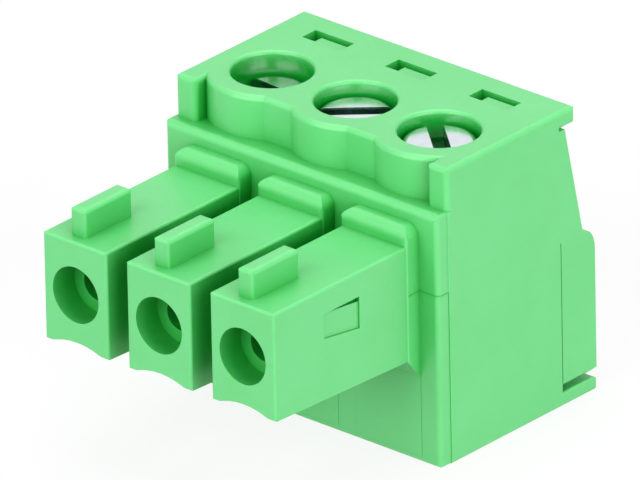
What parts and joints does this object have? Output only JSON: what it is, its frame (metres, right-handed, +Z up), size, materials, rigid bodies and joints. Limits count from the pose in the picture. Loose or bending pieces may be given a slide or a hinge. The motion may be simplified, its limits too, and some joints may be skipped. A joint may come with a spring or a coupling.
{
  "type": "pluggable terminal block",
  "caption": "Pluggable screw terminal block, socket side: green housing with keyed contact fingers, slotted clamp screws on top and funnel wire entries at the rear.",
  "frame": {"origin": "middle of the footprint, on the plane that the base stands on", "axes": "+X along the row of poles, +Y from the contact fingers to the wire entries, +Z up towards the screw heads"},
  "size_m": [0.0125, 0.0156, 0.0111],
  "materials": {
    "housing_plastic": "fine satin moulding, bright green",
    "cover_plastic": "fine satin moulding, bright green",
    "screw_metal": "bright zinc plating",
    "cage_metal": "zinc plating, slightly dull",
    "contact_metal": "tin plating over a copper alloy strip"
  },
  "bodies": {
    "body": {"housing": "housing_plastic", "rear_cover": "cover_plastic", "contact_1": "contact_metal", "contact_2": "contact_metal", "contact_3": "contact_metal"},
    "screw_1": {"clamp_screw_1": "screw_metal"},
    "screw_2": {"clamp_screw_2": "screw_metal"},
    "screw_3": {"clamp_screw_3": "screw_metal"},
    "cage_1": {"clamp_cage_1": "cage_metal"},
    "cage_2": {"clamp_cage_2": "cage_metal"},
    "cage_3": {"clamp_cage_3": "cage_metal"}
  },
  "joints": [
    {"name": "screw_1_turn", "type": "hinge", "parent": "body", "child": "screw_1", "pos_m": [-0.00381, 0.00251, 0.009], "axis": [0, 0, -1], "range_deg": [0, 1620]},
    {"name": "screw_2_turn", "type": "hinge", "parent": "body", "child": "screw_2", "pos_m": [0, 0.00251, 0.009], "axis": [0, 0, -1], "range_deg": [0, 1620]},
    {"name": "screw_3_turn", "type": "hinge", "parent": "body", "child": "screw_3", "pos_m": [0.00381, 0.00251, 0.009], "axis": [0, 0, -1], "range_deg": [0, 1620]},
    {"name": "cage_1_rise", "type": "slide", "parent": "body", "child": "cage_1", "axis": [0, 0, 1], "range_m": [0, 0.0018]},
    {"name": "cage_2_rise", "type": "slide", "parent": "body", "child": "cage_2", "axis": [0, 0, 1], "range_m": [0, 0.0018]},
    {"name": "cage_3_rise", "type": "slide", "parent": "body", "child": "cage_3", "axis": [0, 0, 1], "range_m": [0, 0.0018]}
  ],
  "couplings": [
    {"joint": "screw_1_turn", "follows": "cage_1_rise", "rad_per_m": 15708},
    {"joint": "screw_2_turn", "follows": "cage_2_rise", "rad_per_m": 15708},
    {"joint": "screw_3_turn", "follows": "cage_3_rise", "rad_per_m": 15708}
  ]
}
